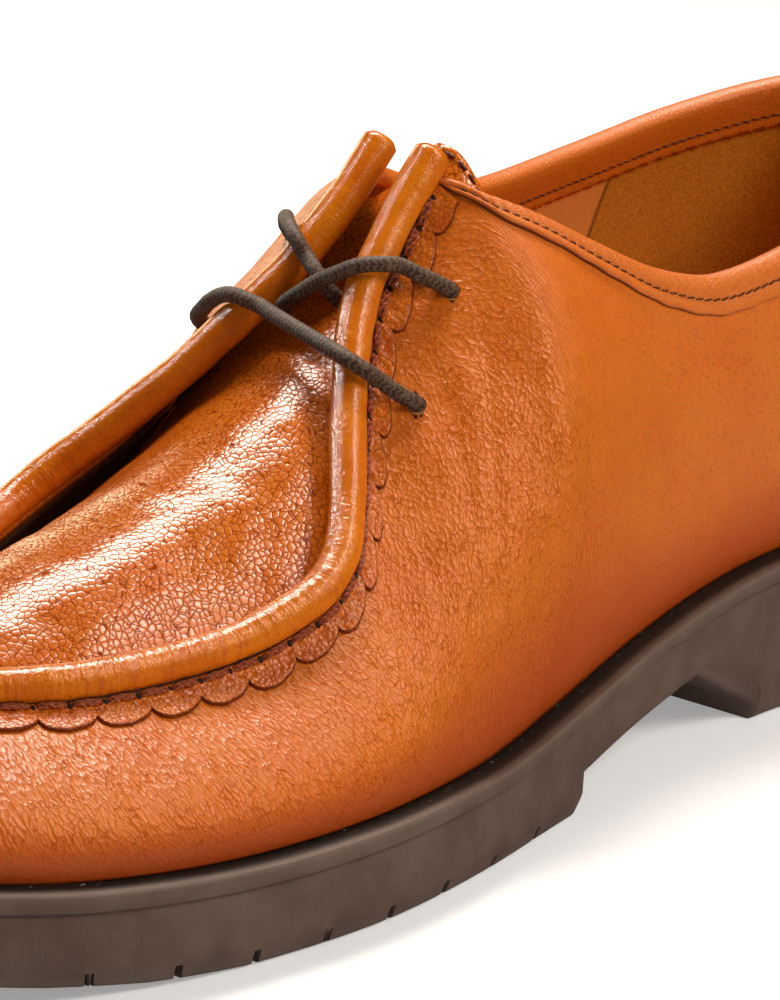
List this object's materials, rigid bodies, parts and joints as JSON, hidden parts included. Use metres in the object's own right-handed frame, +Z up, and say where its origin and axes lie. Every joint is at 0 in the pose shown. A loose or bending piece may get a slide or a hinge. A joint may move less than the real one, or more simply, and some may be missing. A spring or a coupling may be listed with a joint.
{
  "type": "lace-up shoe",
  "caption": "Leather moccasin-toe lace-up shoe with a rolled apron seam, scalloped strip, bound collar, round lace and moulded rubber sole.",
  "frame": {"origin": "on the floor under the middle of the shoe's bounding box", "axes": "+X from toe to heel, -Y to the outer side, +Z up"},
  "size_m": [0.3, 0.1064, 0.1062],
  "materials": {
    "rubber": "matte moulded rubber",
    "lining": "smooth tan lining",
    "leather": "grained, waxed orange tan",
    "roll": "smooth, waxed orange tan",
    "cord": "waxed round braid"
  },
  "bodies": {
    "root": {"sole": "rubber", "insole": "lining", "upper": "leather", "apron_tongue": "leather", "apron_roll": "roll", "scallop_strip": "leather", "lace_bar": "cord", "lace_cross": "cord"}
  },
  "joints": []
}
